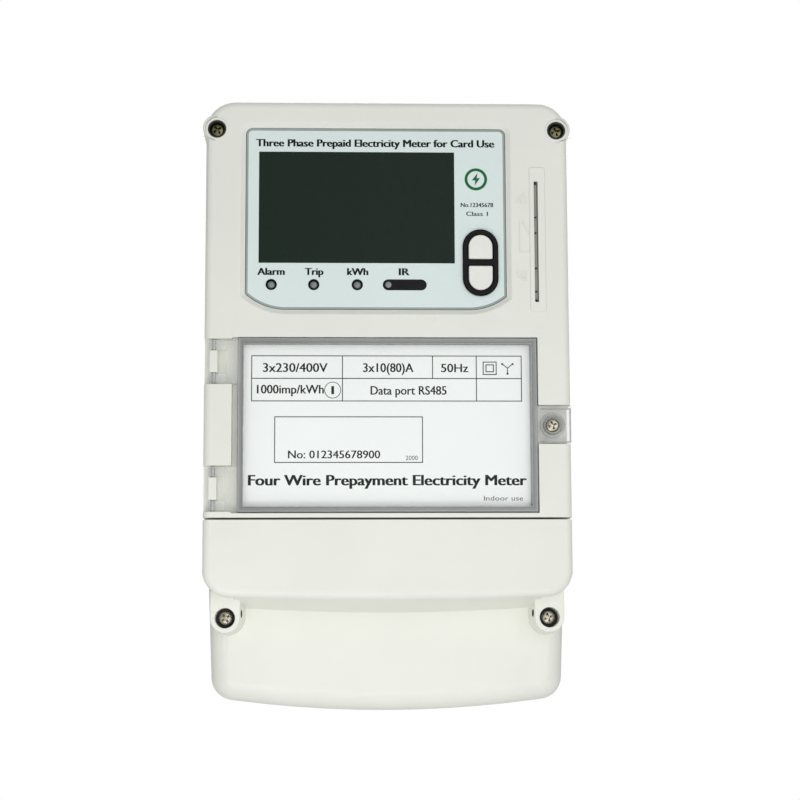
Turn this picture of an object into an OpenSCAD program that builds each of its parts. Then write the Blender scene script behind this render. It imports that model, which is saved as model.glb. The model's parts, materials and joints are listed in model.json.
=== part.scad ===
// Three-phase prepaid electricity meter with an IC card slot, a hinged nameplate window and a lift-off terminal cover.
// Millimetres. X to the right seen from the front, Z up, the front faces -Y.
// The origin is the centre of the flat back face that lies on the wall.

/* [Case] */
// Width of the case
case_w = 168.2; // [166:0.2:172]
// Height of the case over the main cover and the terminal cover
case_h = 281.6; // [278:0.2:286]
// Depth of the case from the wall to the front face
case_d = 80; // [78:1:84]
// Wall thickness of the mouldings
wall = 2.6; // [2.2:0.1:2.8]
// Radius of the two top corners, seen from the front
corner_r = 13.5; // [10:0.5:15]
// Rounding of the front edges
edge_r = 3.5; // [2:0.5:4]
// Depth of the base tray that lies on the wall
base_depth = 28; // [26:1:29]
// Gap that parts the main cover from the terminal cover
part_gap = 0.9; // [0.6:0.1:1.6]

/* [Terminal cover] */
// Height of the raised upper section of the terminal cover
raised_h = 37; // [34:1:39]
// Radius of the lower corners of the raised section
raised_corner_r = 12; // [10:1:17]
// Set-back of the lower lip behind the raised section
lip_step = 21; // [18:1:22]
// Half width of the lower lip at the parting line
lip_half_w = 84; // [82:0.2:84]
// Half width of the lower lip at its bottom
lip_bottom_half_w = 80.6; // [78:0.2:82]
// Radius of the curved bottom edge
bottom_arc_r = 530; // [450:10:700]
// How far the terminal cover lifts off the case
terminal_cover_travel = 90; // [60:5:120]

/* [Display and keys] */
// Width of the viewing glass
glass_w = 90.6; // [86:0.2:92]
// Height of the viewing glass
glass_h = 52.5; // [50:0.5:54]
// Travel of the two keys
key_travel = 0.9; // [0.4:0.1:1]
// Distance between the two key centres
key_pitch = 14.2; // [14:0.1:14.6]

/* [Card reader] */
// Width of the card slot, for a card 0.76 mm thick
slot_w = 1.8; // [1.4:0.1:2]
// Length of the card slot, for a card 53.98 mm wide
slot_len = 57; // [54.6:0.1:58]

/* [Nameplate window] */
// Width of the clear window
window_w = 137.2; // [135:0.2:137.4]
// Height of the clear window
window_h = 80; // [78:0.5:80.2]
// Radius of the hinge pins
hinge_pin_r = 1; // [0.8:0.1:1.1]

/* [Terminals] */
// Number of main terminals
terminal_n = 8; // [4:1:8]
// Distance between main terminals
terminal_pitch = 15; // [14.6:0.1:15.2]
// Radius of the cable bore in a main terminal
cable_r = 4.25; // [3.5:0.05:4.4]
// Number of auxiliary terminals
aux_n = 10; // [4:1:10]
// Distance between auxiliary terminals
aux_pitch = 9; // [8.6:0.1:9.4]

/* [Wall fixing] */
// Radius of the hole in the hanger and of the two lower wall holes
fix_r = 2.75; // [2.2:0.05:3]
// Distance between the two lower wall holes
fix_pitch = 146; // [140:1:148]
// How far the hanger slides out above the case
hanger_travel = 22; // [16:1:24]

/* [Hidden] */

eps = 0.01;
half_w = case_w / 2;
top_z = case_h / 2;
bottom_z = -top_z;
front_y = -case_d;
split_z = -54;
cover_bottom_z = split_z + part_gap / 2;
terminal_top_z = split_z - part_gap / 2;
raised_bottom_z = split_z - raised_h;
raised_sag = 1.7;
lip_y = front_y + lip_step;
floor_t = 3;
gasket_t = 1;
joint_y = -base_depth;

// corner screws of the main cover
corner_screw_x = 79.05;
corner_screw_z = top_z - 13.5;
collar_r = 5.5;
collar_back_r = 6.2;
collar_hole_r = 4.3;
collar_depth = 5.4;

// lower screws of the main cover, under the terminal cover
low_screw_x = 76;
low_screw_z = -62;
low_tab_y = -40;
low_tab_t = 3;

// terminal cover screws
lip_corner_r = 10.5;
lip_roll_r = 9.4;
tab_screw_x = 74.1;
tab_screw_z = -98.6;
tab_r = 6.7;
tab_draft = 2;
step_half_w = 70;
step_drop = 5;
step_arc_r = 976;
tab_y = lip_y - 11;
tab_hole_r = 4.6;
tab_hole_depth = 9.5;
tab_post_top_y = -52;

// display
panel_left = -65.4;
panel_right = 55;
panel_top = 128;
panel_bottom = 42.5;
panel_arc_r = 27.5;
panel_arc_x = [-46.8, 37.7];
panel_y = front_y + 1.8;
panel_t = 1.5;
rim_w = 2.5;
glass_x = -14.1;
glass_z = 90.65;
display_pcb_y = -68;
display_pcb_t = 1.6;
display_boss = [[-71, 120], [58, 120], [-71, 56], [58, 56]];
display_boss_r = 2.3;

// keys
key_x = 43.2;
key_z = 64.5;
key_ring_r = 8.3;
key_ring_w = 2.5;
key_bar = 2.7;
key_ring_h = 31.5;
key_gap = 0.3;
key_y = -80.2;

// indicators
led_x = [-53.6, -34, -13.9];
led_z = 54.1;
led_ring_r = 2.55;
led_r = 1.5;
ir_x = 8.05;
ir_w = 20.1;
ir_h = 4.9;

// card reader
slot_x = 69.1;
slot_z = 74.4;
slot_frame_w = 7.2;
slot_frame_h = 68.3;
slot_frame_t = 0.5;
reader_w = 15;
reader_y0 = -77.4;
reader_y1 = -30;
reader_z0 = 41;
reader_z1 = 108;

// nameplate window
window_z = -11.1;
pocket_d = 5;
pocket_gap = 0.4;
window_t = 1.8;
skirt_t = 1.5;
skirt_y = front_y + pocket_d - 0.35;
hinge_x = -79.7;
hinge_y = front_y + 2.5;
knuckle_r = 2.1;
hinge_zs = [18.1, -40.35];
notch_h = 21;
lug_h = 10.2;
arm_h = 4.4;
leaf_x0 = -73.9;
notch_floor_y = front_y + 6.2;
tab_z = -10.95;
tab_h = 17.1;
win_screw_x = 75.6;
win_screw_z = -11.3;

// terminals
block_x = 66;
block_y0 = -44;
block_y1 = -7;
block_z0 = -106;
block_z1 = -57;
cable_y = -20;
cable_opening_x = 61;
cable_sill = 8;
brass_w = 11.2;
brass_d = 14;
brass_z0 = -104;
brass_z1 = -79;
block_screw_x = 62.2;
block_screw_z = -82;
clamp_zs = [-97, -86];
clamp_r = 2.9;
bar_w = 7;
bar_t = 2;
bar_top_z = -36;
aux_y0 = -57;
aux_y1 = block_y0;
aux_z0 = -75;
aux_z1 = -59;
aux_cable_y = -50;

// boards
pcb_y = -36;
pcb_t = 1.6;
pcb_x0 = -62;
pcb_x1 = 58;
pcb_z0 = -50;
pcb_z1 = 118;
pcb_holes = [[-57, 10], [53, 10], [-57, 113], [53, 113]];

// tamper switches under the two covers
cover_switch_x = 53;
cover_switch_z = 24;
terminal_switch_x = 61.6;
terminal_switch_z = -67;

// hanger
hanger_w = 24.4;
hanger_t = 1.4;
hanger_y = -2.3;
hanger_z0 = 104;
hanger_z1 = top_z - 1;
hanger_hole_z = top_z - 9.8;
hanger_gap = 0.3;

function terminal_x(i) = (i - (terminal_n - 1) / 2) * terminal_pitch;
function aux_x(i) = (i - (aux_n - 1) / 2) * aux_pitch;

// ---------- shared shapes ----------

// Draws a flat outline in the XZ plane and extrudes it from y0 to y1.
module slab(y0, y1) {
    translate([0, y1, 0])
        rotate([90, 0, 0])
            linear_extrude(y1 - y0)
                children();
}

// A box given by its two corners.
module block(low, high) {
    translate(low)
        cube(high - low);
}

// A round bar or bore along Y.
module y_rod(x, z, r, y0, y1) {
    translate([x, y1, z])
        rotate([90, 0, 0])
            cylinder(r = r, h = y1 - y0, $fn = 48);
}

// A round bar or bore along Z.
module z_rod(x, y, r, z0, z1) {
    translate([x, y, z0])
        cylinder(r = r, h = z1 - z0, $fn = 48);
}

module rounded(w, h, r) {
    offset(r = r, $fn = 40)
        square([w - 2 * r, h - 2 * r], center = true);
}

// A disc with a rounded front rim, standing on the joint plane: one corner of a cover.
module puck(x, z, r, edge, y0, y1) {
    translate([x, y1, z])
        rotate([90, 0, 0])
            union() {
                cylinder(r = r, h = y1 - y0 - edge, $fn = 32);
                rotate_extrude($fn = 32)
                    intersection() {
                        union() {
                            square([r - edge, y1 - y0]);
                            translate([r - edge, y1 - y0 - edge])
                                circle(edge, $fn = 32);
                        }
                        square([r, y1 - y0]);
                    }
            }
}

// A pan-head screw with a cross recess. The head's face looks towards -Y.
module pan_screw(x, z, head_y, head_r, head_h, shank_r, shank_len) {
    slot = head_r * 0.34;
    difference() {
        union() {
            y_rod(x, z, head_r, head_y, head_y + head_h);
            y_rod(x, z, shank_r, head_y + head_h, head_y + head_h + shank_len);
        }
        for (a = [0, 90])
            translate([x, head_y, z])
                rotate([0, a, 0])
                    cube([head_r * 1.3, head_h * 1.1, slot], center = true);
    }
}

// ---------- outlines seen from the front ----------

// The upper part of the case, whose lower corners are rounded like the raised section.
module upper_outline(grow = 0) {
    offset(delta = grow)
        intersection() {
            translate([0, top_z - case_h / 2])
                rounded(case_w, case_h, corner_r);
            translate([0, raised_bottom_z + raised_sag + case_h / 2])
                rounded(case_w, case_h, raised_corner_r);
        }
}

// The lower lip with its tapering sides and curved bottom edge.
module lip_outline(inset = 0) {
    offset(r = lip_corner_r - inset, $fn = 40)
        offset(delta = -lip_corner_r)
            intersection() {
                polygon([
                    [-lip_half_w, terminal_top_z],
                    [lip_half_w, terminal_top_z],
                    [lip_bottom_half_w, bottom_z],
                    [-lip_bottom_half_w, bottom_z]
                ]);
                translate([0, bottom_z + bottom_arc_r])
                    circle(bottom_arc_r, $fn = 240);
            }
}

// The display panel: square at the top, drawn in by two arcs at the bottom.
module panel_outline(grow = 0) {
    offset(delta = grow)
        intersection() {
            translate([(panel_left + panel_right) / 2, (panel_top + panel_bottom) / 2])
                rounded(panel_right - panel_left, panel_top - panel_bottom, 3);
            union() {
                translate([panel_left, panel_bottom + panel_arc_r])
                    square([panel_right - panel_left, case_h]);
                for (x = panel_arc_x)
                    translate([x, panel_bottom + panel_arc_r])
                        circle(panel_arc_r, $fn = 96);
                translate([panel_arc_x[0], panel_bottom])
                    square([panel_arc_x[1] - panel_arc_x[0], panel_arc_r + 1]);
            }
        }
}

// The long oval of the key surround.
module key_oval(inset = 0) {
    translate([key_x, key_z])
        rounded(2 * (key_ring_r - inset), key_ring_h - 2 * inset, key_ring_r - inset - eps);
}

// One half of the oval, above or below the centre bar.
module key_half(side, inset) {
    intersection() {
        key_oval(inset);
        translate([key_x - key_ring_r, side > 0 ? key_z + key_bar / 2 + inset - key_ring_w : key_z - key_ring_h])
            square([2 * key_ring_r, key_ring_h - key_bar / 2 - inset + key_ring_w]);
    }
}

module ir_outline(gap = 0) {
    translate([ir_x, led_z])
        rounded(ir_w - 2 * gap, ir_h - 2 * gap, ir_h / 2 - gap - eps);
}

// ---------- case ----------

// Outer solid of the main cover, rounded along its front edges.
module cover_solid() {
    hull() {
        for (s = [-1, 1])
            puck(s * (half_w - corner_r), top_z - corner_r, corner_r, edge_r, front_y, joint_y - gasket_t / 2);
        for (s = [-1, 1])
            z_rod(s * (half_w - edge_r), front_y + edge_r, edge_r, cover_bottom_z, 0);
        block([-half_w, front_y + 2 * edge_r, cover_bottom_z], [half_w, joint_y - gasket_t / 2, 0]);
    }
}

module main_cover() {
    color("ivory")
    difference() {
        union() {
            difference() {
                union() {
                    cover_solid();
                    slab(front_y - slot_frame_t, front_y + 1)
                        translate([slot_x + 0.6, slot_z + 1])
                            rounded(slot_frame_w, slot_frame_h, 1.2);
                }
                // hollow of the cover
                slab(front_y + wall, joint_y + 1)
                    intersection() {
                        upper_outline(-wall);
                        translate([-half_w, cover_bottom_z + wall])
                            square([case_w, case_h]);
                    }
                // the terminal block comes out under the bottom wall
                block([-block_x - 0.5, block_y0 - 1, cover_bottom_z - 1], [block_x + 0.5, joint_y + 1, 0]);
            }
            // solid columns for the corner screws, tapering towards the front
            for (s = [-1, 1])
                translate([s * corner_screw_x, joint_y - gasket_t / 2, corner_screw_z])
                    rotate([90, 0, 0])
                        cylinder(r1 = collar_back_r, r2 = collar_r, h = joint_y - gasket_t / 2 - front_y, $fn = 64);
            // pocket walls and floor for the nameplate window
            block([-half_w + wall / 2, front_y + 1, cover_bottom_z + eps],
                  [half_w - wall / 2, front_y + pocket_d + 1.6, 31.4]);
            // lugs that take the lower screws
            for (s = [-1, 1])
                block([s * low_screw_x - 5, low_tab_y, low_screw_z - 5.5],
                      [s * low_screw_x + 5, low_tab_y + low_tab_t, cover_bottom_z + 1]);
            // bosses for the display board
            for (p = display_boss)
                y_rod(p[0], p[1], display_boss_r, front_y + wall - 0.1, display_pcb_y);
            // rod that holds the cover switch down
            y_rod(cover_switch_x, cover_switch_z, 2, front_y + wall, pcb_y - 9.3);
            // boss for the window screw insert
            y_rod(win_screw_x, win_screw_z, 4.6, front_y + pocket_d, -64);
        }
        // bevelled rim and opening of the display
        hull() {
            slab(front_y - 1, front_y)
                panel_outline(rim_w);
            slab(panel_y - 0.5, panel_y - 0.2)
                panel_outline(0.5);
        }
        slab(panel_y - 1, panel_y + panel_t)
            panel_outline(0.15);
        slab(panel_y, front_y + wall + 1)
            panel_outline(-3);
        // corner screw wells and clearance holes
        for (s = [-1, 1]) {
            y_rod(s * corner_screw_x, corner_screw_z, collar_hole_r, front_y - 1, front_y + collar_depth);
            y_rod(s * corner_screw_x, corner_screw_z, 1.8, front_y, 0);
            y_rod(s * low_screw_x, low_screw_z, 1.8, low_tab_y - 1, low_tab_y + low_tab_t + 1);
        }
        for (p = display_boss)
            y_rod(p[0], p[1], 1, -75, display_pcb_y + 1);
        // card slot, with a funnel at its mouth
        block([slot_x - slot_w / 2, front_y - 2, slot_z - slot_len / 2],
              [slot_x + slot_w / 2, front_y + wall + 1, slot_z + slot_len / 2]);
        // window pocket
        block([-window_w / 2 - pocket_gap, front_y - 1, window_z - window_h / 2 - pocket_gap],
              [window_w / 2 + pocket_gap, front_y + pocket_d, window_z + window_h / 2 + pocket_gap]);
        block([-71.2, front_y - 1, window_z - window_h / 2 - pocket_gap],
              [0, front_y + pocket_d, window_z + window_h / 2 + pocket_gap]);
        // seat of the screw tab, open to the side
        block([window_w / 2, front_y - 1, tab_z - tab_h / 2 - 0.4],
              [half_w + 1, front_y + pocket_d, tab_z + tab_h / 2 + 0.4]);
        block([half_w - 1.9, front_y - 1, tab_z - tab_h / 2 - 0.4],
              [half_w + 1, front_y + 17, tab_z + tab_h / 2 + 0.4]);
        y_rod(win_screw_x, win_screw_z, 2.6, front_y + pocket_d - 1, -66);
        // hinge notches, open to the side
        for (z = hinge_zs)
            difference() {
                block([-half_w - 1, front_y - 1, z - notch_h / 2], [-69, notch_floor_y, z + notch_h / 2]);
                block([hinge_x - 1.9, front_y + 0.4, z - lug_h / 2], [hinge_x + 1.9, notch_floor_y + 1, z + lug_h / 2]);
            }
        for (z = hinge_zs)
            z_rod(hinge_x, hinge_y, hinge_pin_r, z - notch_h / 2, z + notch_h / 2);
    }
}

// Tray of the base: floor, side walls, posts and the wide cable opening in its bottom wall.
module base() {
    color("ivory")
    difference() {
        union() {
            difference() {
                slab(joint_y + gasket_t / 2, 0)
                    union() {
                        upper_outline();
                        lip_outline();
                    }
                slab(joint_y - 1, -floor_t)
                    union() {
                        upper_outline(-wall);
                        lip_outline(wall);
                    }
            }
            // screw columns
            for (s = [-1, 1]) {
                y_rod(s * corner_screw_x, corner_screw_z, collar_back_r, joint_y + gasket_t / 2, 0);
                y_rod(s * low_screw_x, low_screw_z, 4, low_tab_y + low_tab_t, -1);
                y_rod(s * tab_screw_x, tab_screw_z, 4.2, tab_post_top_y, -1);
                y_rod(s * fix_pitch / 2, -124, 6, -6, -1);
            }
            for (p = pcb_holes)
                y_rod(p[0], p[1], 3.2, pcb_y + pcb_t, -1);
            // pad over the hanger channel
            block([-hanger_w / 2 - 3, -5, hanger_z0 - 3], [hanger_w / 2 + 3, -floor_t + eps, top_z - wall]);
            // bosses that carry the terminal block
            for (s = [-1, 1])
                y_rod(s * block_screw_x, block_screw_z, 3.2, block_y1, -1);
        }
        for (s = [-1, 1]) {
            y_rod(s * corner_screw_x, corner_screw_z, 1.5, joint_y, -8);
            y_rod(s * low_screw_x, low_screw_z, 1.5, low_tab_y, -24);
            y_rod(s * tab_screw_x, tab_screw_z, 2.2, tab_post_top_y - 1, -30);
            y_rod(s * fix_pitch / 2, -124, fix_r, -7, 1);
        }
        for (p = pcb_holes)
            y_rod(p[0], p[1], 1.2, pcb_y, -20);
        for (s = [-1, 1])
            y_rod(s * block_screw_x, block_screw_z, 1.2, block_y1 - 1, -4);
        // cable opening in the bottom wall
        block([-cable_opening_x, joint_y - 1, bottom_z - 1], [cable_opening_x, cable_y + cable_sill, block_z0 - 8]);
        // channel of the hanger: wide in front, narrow at the back face
        block([-hanger_w / 2 - hanger_gap, hanger_y - hanger_gap, hanger_z0 - hanger_gap],
              [hanger_w / 2 + hanger_gap, hanger_y + hanger_t + hanger_gap, top_z + 1]);
        block([-hanger_w / 2 + 2, -2, hanger_z0 - hanger_gap], [hanger_w / 2 - 2, 1, top_z + 1]);
    }
}

module case_gasket() {
    color("dimgray")
    slab(joint_y - gasket_t / 2, joint_y + gasket_t / 2)
        difference() {
            intersection() {
                upper_outline(-0.6);
                translate([-half_w, cover_bottom_z])
                    square([case_w, case_h]);
            }
            upper_outline(-2.2);
            for (s = [-1, 1])
                translate([s * corner_screw_x, corner_screw_z])
                    circle(collar_back_r + 0.1, $fn = 48);
        }
}

module cover_screws() {
    color("silver")
    for (s = [-1, 1])
        pan_screw(s * corner_screw_x, corner_screw_z, front_y + 2.9, 2.85, 2.2, 1.5, 60);
}

// Black liners of the two corner screw wells.
module screw_collars() {
    color("black")
    for (s = [-1, 1])
        difference() {
            y_rod(s * corner_screw_x, corner_screw_z, collar_hole_r - 0.05, front_y + 0.3, front_y + collar_depth);
            y_rod(s * corner_screw_x, corner_screw_z, 3.5, front_y, front_y + collar_depth - 0.3);
            y_rod(s * corner_screw_x, corner_screw_z, 1.8, front_y, front_y + collar_depth + 1);
        }
}

module cover_lower_screws() {
    color("silver")
    for (s = [-1, 1])
        pan_screw(s * low_screw_x, low_screw_z, low_tab_y - 2.2, 2.85, 2.2, 1.5, 12);
}

// ---------- display ----------

module display_panel() {
    color("aliceblue")
    difference() {
        slab(panel_y, panel_y + panel_t)
            panel_outline();
        slab(panel_y - 1, panel_y + panel_t + 1)
            translate([glass_x, glass_z])
                square([glass_w + 0.2, glass_h + 0.2], center = true);
        for (x = led_x)
            y_rod(x, led_z, led_ring_r + 0.05, panel_y - 1, panel_y + panel_t + 1);
        slab(panel_y - 1, panel_y + panel_t + 1)
            ir_outline(-0.1);
        slab(panel_y - 1, panel_y + panel_t + 1)
            key_oval(0.5);
    }
}

module lcd_lens() {
    color([0.15, 0.18, 0.17, 0.6])
    slab(panel_y, panel_y + panel_t)
        translate([glass_x, glass_z])
            square([glass_w, glass_h], center = true);
}

// Liquid crystal cell in its frame, with the backlight behind it.
module lcd_module() {
    color("darkslategray")
    union() {
        slab(-76.4, -73.6)
            translate([glass_x, glass_z])
                square([glass_w + 4, glass_h + 3], center = true);
        slab(-73.6 - eps, display_pcb_y)
            translate([glass_x, glass_z])
                square([glass_w + 6, glass_h + 5], center = true);
    }
}

module display_pcb() {
    color("green")
    difference() {
        slab(display_pcb_y, display_pcb_y + display_pcb_t)
            translate([-6.9, 88])
                square([135.8, 76], center = true);
        for (p = display_boss)
            y_rod(p[0], p[1], 1.4, display_pcb_y - 1, display_pcb_y + display_pcb_t + 1);
    }
}

module display_pcb_screws() {
    color("silver")
    for (p = display_boss)
        translate([2 * p[0], 2 * display_pcb_y + 2 * display_pcb_t, 0])
            rotate([0, 0, 180])
                pan_screw(p[0], p[1], display_pcb_y + display_pcb_t - 1.8, 2.4, 1.8, 1.1, 6);
}

module key_bezel() {
    color("black")
    difference() {
        union() {
            slab(front_y + 0.4, panel_y)
                key_oval();
            slab(panel_y - eps, panel_y + panel_t)
                key_oval(0.6);
        }
        for (s = [-1, 1])
            slab(front_y - 1, panel_y + panel_t + 1)
                key_half(s, key_ring_w);
    }
}

// A key: a D-shaped cap with a flange behind the panel and a stem to its switch.
module key_cap(side) {
    z = key_z + side * key_pitch / 2;
    union() {
        slab(key_y, panel_y + panel_t + 0.4)
            key_half(side, key_ring_w + key_gap);
        slab(panel_y + panel_t + 0.4 - eps, panel_y + panel_t + 1.6)
            translate([key_x, z])
                square([13, 12.6], center = true);
        y_rod(key_x, z, 2, panel_y + panel_t + 1.5, -72.6);
    }
}

module upper_button() {
    color("ivory")
    key_cap(1);
}

module lower_button() {
    color("ivory")
    key_cap(-1);
}

module key_switches() {
    color("black")
    for (s = [-1, 1])
        difference() {
            block([key_x - 3, -71.4, key_z + s * key_pitch / 2 - 3], [key_x + 3, display_pcb_y, key_z + s * key_pitch / 2 + 3]);
            y_rod(key_x, key_z + s * key_pitch / 2, 1.9, -72, -69.6);
        }
}

module key_plunger(side) {
    y_rod(key_x, key_z + side * key_pitch / 2, 1.6, -72.6, -70.8);
}

module upper_key_plunger() {
    color("dimgray")
    key_plunger(1);
}

module lower_key_plunger() {
    color("dimgray")
    key_plunger(-1);
}

// A round indicator with its dome at the panel and two legs to the board.
module led(x) {
    union() {
        y_rod(x, led_z, led_r, panel_y + 1, panel_y + 5.4);
        translate([x, panel_y + 1, led_z])
            sphere(led_r - 0.02, $fn = 48);
        y_rod(x, led_z, led_r + 0.4, panel_y + 5.3, panel_y + 6.4);
        for (s = [-1, 1])
            y_rod(x + s * 0.9, led_z, 0.3, panel_y + 6.3, display_pcb_y);
    }
}

module alarm_led() {
    color("lightgray")
    led(led_x[0]);
}

module trip_led() {
    color("lightgray")
    led(led_x[1]);
}

module pulse_led() {
    color("lightgray")
    led(led_x[2]);
}

module led_bezels() {
    color("black")
    for (x = led_x)
        difference() {
            y_rod(x, led_z, led_ring_r, panel_y - 0.2, panel_y + 3);
            y_rod(x, led_z, led_r + 0.1, panel_y - 1, panel_y + 4);
        }
}

module ir_window() {
    color("black")
    slab(panel_y - 0.1, panel_y + panel_t)
        ir_outline();
}

module ir_diode(x) {
    union() {
        y_rod(x, led_z, 1.5, panel_y + panel_t + 0.3, panel_y + 6.4);
        for (s = [-1, 1])
            y_rod(x + s * 0.9, led_z, 0.3, panel_y + 6.3, display_pcb_y);
    }
}

module ir_emitter() {
    color("lightsteelblue")
    ir_diode(ir_x - 5);
}

module ir_receiver() {
    color("black")
    ir_diode(ir_x + 5);
}

// ---------- card reader ----------

// A flat box open at the front, with a rib down each side that guides the card's edges.
module card_reader_body() {
    color("black")
    difference() {
        block([slot_x - reader_w / 2, reader_y0, reader_z0], [slot_x + reader_w / 2 - 1, reader_y1, reader_z1]);
        block([slot_x - 0.6, reader_y0 - 1, slot_z - slot_len / 2 + 0.4],
              [slot_x + 0.6, reader_y1 - 4, slot_z + slot_len / 2 - 0.4]);
        // window for the contact springs
        block([slot_x - reader_w / 2 - 1, -58, 62], [slot_x + 0.5, -40, 87]);
    }
}

// Eight gold spring contacts that touch the card's chip.
module card_contacts() {
    color("gold")
    for (row = [0, 1])
        for (i = [0 : 3])
            union() {
                z = 66 + i * 5.4;
                y = -55 + row * 9;
                block([slot_x - reader_w / 2 + 0.1, y, z], [slot_x - reader_w / 2 + 0.9, y + 6, z + 1.6]);
                block([slot_x - reader_w / 2 + 0.8, y + 2, z], [slot_x - 1.4, y + 3, z + 1.6]);
            }
}

module card_reader_pcb() {
    color("green")
    block([slot_x - reader_w / 2 - 1.6, -62, 46], [slot_x - reader_w / 2, -32, 103]);
}

// ---------- nameplate and window ----------

module nameplate() {
    color("mintcream")
    block([-66.3, front_y + pocket_d - 0.8, -49], [65.6, front_y + pocket_d, 26.4]);
}

// Clear tray: a front plate with a skirt, two hinge brackets on the left and a screw tab on the right.
module nameplate_window() {
    x0 = -window_w / 2;
    x1 = window_w / 2;
    z0 = window_z - window_h / 2;
    z1 = window_z + window_h / 2;
    color([0.85, 0.9, 0.9, 0.35])
    difference() {
        union() {
            difference() {
                block([x0, front_y, z0], [x1, skirt_y, z1]);
                block([x0 + skirt_t, front_y + window_t, z0 + skirt_t], [x1 - skirt_t, skirt_y + 1, z1 - skirt_t]);
            }
            // hinge brackets: a leaf beside the plate and an arm above and below the lug
            for (z = hinge_zs) {
                block([leaf_x0, front_y, z - notch_h / 2 + 0.6], [x0 + 0.5, skirt_y, z + notch_h / 2 - 0.6]);
                for (s = [-1, 1])
                    arm(z + s * (notch_h / 2 - 0.6 - arm_h / 2));
            }
            // screw tab, wrapped over the side of the case
            block([x1 - 0.5, front_y + 0.6, tab_z - tab_h / 2], [half_w, front_y + pocket_d - 0.6, tab_z + tab_h / 2]);
            block([half_w - 1.5, front_y + 0.6, tab_z - tab_h / 2], [half_w + 0.1, front_y + 16.4, tab_z + tab_h / 2]);
            y_rod(win_screw_x, win_screw_z, 5.8, front_y - 0.3, front_y + pocket_d - 0.4);
        }
        y_rod(win_screw_x, win_screw_z, 4.6, front_y - 1, front_y + 3.2);
        y_rod(win_screw_x, win_screw_z, 1.55, front_y, front_y + pocket_d + 1);
        for (z = hinge_zs)
            z_rod(hinge_x, hinge_y, hinge_pin_r + 0.05, z - notch_h, z + notch_h);
    }
}

// One hinge arm, from the leaf to the knuckle round the pin.
module arm(z) {
    union() {
        block([hinge_x, hinge_y - 1.4, z - arm_h / 2], [leaf_x0 + 0.5, hinge_y + 1.4, z + arm_h / 2]);
        z_rod(hinge_x, hinge_y, knuckle_r, z - arm_h / 2, z + arm_h / 2);
    }
}

module hinge_pins() {
    color("silver")
    for (z = hinge_zs)
        z_rod(hinge_x, hinge_y, hinge_pin_r, z - notch_h / 2 + 0.4, z + notch_h / 2 - 0.4);
}

module window_screw() {
    color("silver")
    pan_screw(win_screw_x, win_screw_z, front_y + 1, 3, 2.2, 1.5, 8);
}

module window_insert() {
    color("goldenrod")
    difference() {
        y_rod(win_screw_x, win_screw_z, 2.6, front_y + pocket_d + 0.4, -66);
        y_rod(win_screw_x, win_screw_z, 1.9, front_y, -60);
    }
}

// ---------- terminal cover ----------

// The raised section, with rounded front edges and round lower corners.
module raised_solid(inset = 0) {
    r = raised_corner_r;
    e = edge_r - inset * 0.6;
    hull() {
        for (k = [-1 : 0.5 : 1])
            puck(k * (half_w - r), raised_bottom_z + r + k * k * raised_sag, r - inset, e, front_y + inset, joint_y);
        for (s = [-1, 1])
            z_rod(s * (half_w - inset - e), front_y + inset + e, e, raised_bottom_z + r, terminal_top_z);
        block([-half_w + inset, front_y + inset + 2 * e, raised_bottom_z + r],
              [half_w - inset, joint_y, terminal_top_z]);
    }
}

// The lower lip, its front edge rolled back in a wide round.
module lip_solid(inset = 0) {
    r = lip_roll_r - inset;
    hull() {
        slab(joint_y - 1, joint_y)
            lip_outline(inset);
        for (a = [0 : 18 : 90])
            slab(lip_y + lip_roll_r - r * sin(a), lip_y + lip_roll_r - r * sin(a) + 0.3)
                lip_outline(inset + r * (1 - cos(a)));
    }
}

// The foot of the sloped step, its lower edge a shallow arc that passes through z in the middle.
module step_outline(z) {
    intersection() {
        translate([0, z + step_arc_r])
            circle(step_arc_r, $fn = 360);
        translate([-step_half_w, z])
            square([2 * step_half_w, 12]);
    }
}

// A round-ended tab for one screw. Its inner side leans out towards the lip.
module screw_tab(side) {
    x = side * tab_screw_x;
    inward = side * tab_draft / 2;
    top = raised_bottom_z + 8;
    hull() {
        y_rod(x, tab_screw_z, tab_r, tab_y, tab_y + 1);
        block([x - tab_r, tab_y, tab_screw_z], [x + tab_r, tab_y + 1, top]);
        y_rod(x - inward, tab_screw_z, tab_r + tab_draft / 2, lip_y, lip_y + 6);
        block([x - inward - tab_r - tab_draft / 2, lip_y, tab_screw_z],
              [x - inward + tab_r + tab_draft / 2, lip_y + 6, top]);
    }
}

module terminal_cover() {
    color("ivory")
    difference() {
        union() {
            difference() {
                union() {
                    raised_solid();
                    lip_solid();
                    // sloped step between the raised section and the lip
                    hull() {
                        slab(lip_y - 0.4, lip_y + 0.6)
                            step_outline(raised_bottom_z - step_drop);
                        slab(front_y + edge_r, front_y + edge_r + 1)
                            step_outline(raised_bottom_z);
                    }
                    for (s = [-1, 1])
                        screw_tab(s);
                }
                raised_solid(wall);
                lip_solid(wall);
            }
            // top wall behind the parting line
            block([-half_w + wall, front_y + wall, terminal_top_z - 2], [half_w - wall, aux_y0 - 4, terminal_top_z]);
            // solid blocks behind the screw wells
            for (s = [-1, 1])
                y_rod(s * tab_screw_x, tab_screw_z, tab_r - 0.6, tab_y + 1, tab_post_top_y - 0.5);
            // finger that holds the terminal switch down
            block([terminal_switch_x - 3, front_y + wall - 0.5, terminal_switch_z - 3],
                  [terminal_switch_x + 3, block_y0 - 9.3, terminal_switch_z + 3]);
        }
        for (s = [-1, 1]) {
            y_rod(s * tab_screw_x, tab_screw_z, tab_hole_r, tab_y - 1, tab_y + tab_hole_depth);
            y_rod(s * tab_screw_x, tab_screw_z, 2, tab_y, tab_post_top_y);
            // hole for the seal wire
            translate([s * tab_screw_x, tab_y + 4, tab_screw_z + 2])
                rotate([0, -s * 90, 0])
                    cylinder(r = 1.7, h = 12, $fn = 32);
        }
    }
}

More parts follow.
